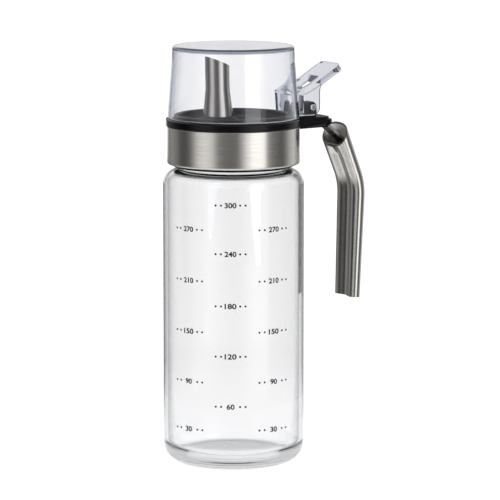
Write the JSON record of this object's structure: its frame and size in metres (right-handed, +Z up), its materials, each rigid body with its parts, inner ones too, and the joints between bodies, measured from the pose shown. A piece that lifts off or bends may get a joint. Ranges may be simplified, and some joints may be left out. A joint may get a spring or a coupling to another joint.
{
  "type": "measuring oil bottle",
  "caption": "Tall clear glass oil bottle with a volume scale, a steel-banded screw cap, a slanted steel pouring spout under a clear flip cover, and a bent steel handle.",
  "frame": {"origin": "centre of the flat base on the bottle's axis", "axes": "+Z up the bottle's axis, +X towards the handle, the cover's hinge pin along Y"},
  "size_m": [0.095, 0.0624, 0.1855],
  "materials": {
    "clear_glass": "clear, polished",
    "clear_plastic": "clear, moulded",
    "brushed_steel": "brushed",
    "black_plastic": "satin",
    "silicone": "matt"
  },
  "bodies": {
    "bottle": {"glass_bottle": "clear_glass"},
    "seal": {"mouth_gasket": "silicone"},
    "cap": {"inner_cap": "black_plastic", "cap_ring": "black_plastic", "collar_band": "brushed_steel", "spout_tube": "brushed_steel", "spout_seal": "silicone", "spout_retainer": "black_plastic", "vent_valve": "silicone", "hinge_pin": "brushed_steel", "handle_grip": "brushed_steel", "handle_tongue": "brushed_steel", "handle_screw": "brushed_steel"},
    "cover": {"dust_cover": "clear_plastic"}
  },
  "joints": [
    {"name": "cap_rise", "type": "slide", "parent": "bottle", "child": "seal", "axis": [0, 0, 1], "range_m": [0, 0.005]},
    {"name": "cap_turn", "type": "hinge", "parent": "seal", "child": "cap", "pos_m": [0, 0, 0.1475], "axis": [0, 0, 1], "range_deg": [0, 450]},
    {"name": "cover_hinge", "type": "hinge", "parent": "cap", "child": "cover", "pos_m": [0.0353, 0, 0.1571], "axis": [0, 1, 0], "range_deg": [0, 65]}
  ],
  "couplings": [
    {"joint": "cap_rise", "follows": "cap_turn", "m_per_rad": 0.0006366}
  ]
}
